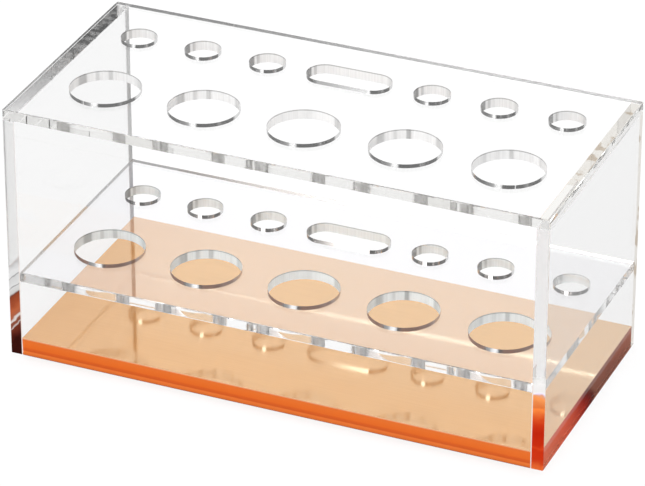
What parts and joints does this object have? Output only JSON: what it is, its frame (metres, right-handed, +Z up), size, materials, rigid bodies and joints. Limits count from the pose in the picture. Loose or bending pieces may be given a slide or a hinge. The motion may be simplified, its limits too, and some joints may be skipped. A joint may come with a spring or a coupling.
{
  "type": "makeup brush holder",
  "caption": "Open clear box for standing makeup brushes: pierced top and shelf carried by end sheets on a tinted base with a brushed metallic face.",
  "frame": {"origin": "on the surface that the holder stands on, under the middle of its outline", "axes": "+Z up, X along the length, the front with the large holes towards -Y"},
  "size_m": [0.22, 0.101, 0.106],
  "materials": {
    "clear_acrylic": "clear polished sheet",
    "orange_acrylic": "tinted transparent, polished edges",
    "brushed_copper": "metallised film, brushed along the length"
  },
  "bodies": {
    "root": {"top_panel": "clear_acrylic", "middle_shelf": "clear_acrylic", "left_end_panel": "clear_acrylic", "right_end_panel": "clear_acrylic", "base_slab": "orange_acrylic", "copper_face": "brushed_copper"}
  },
  "joints": []
}
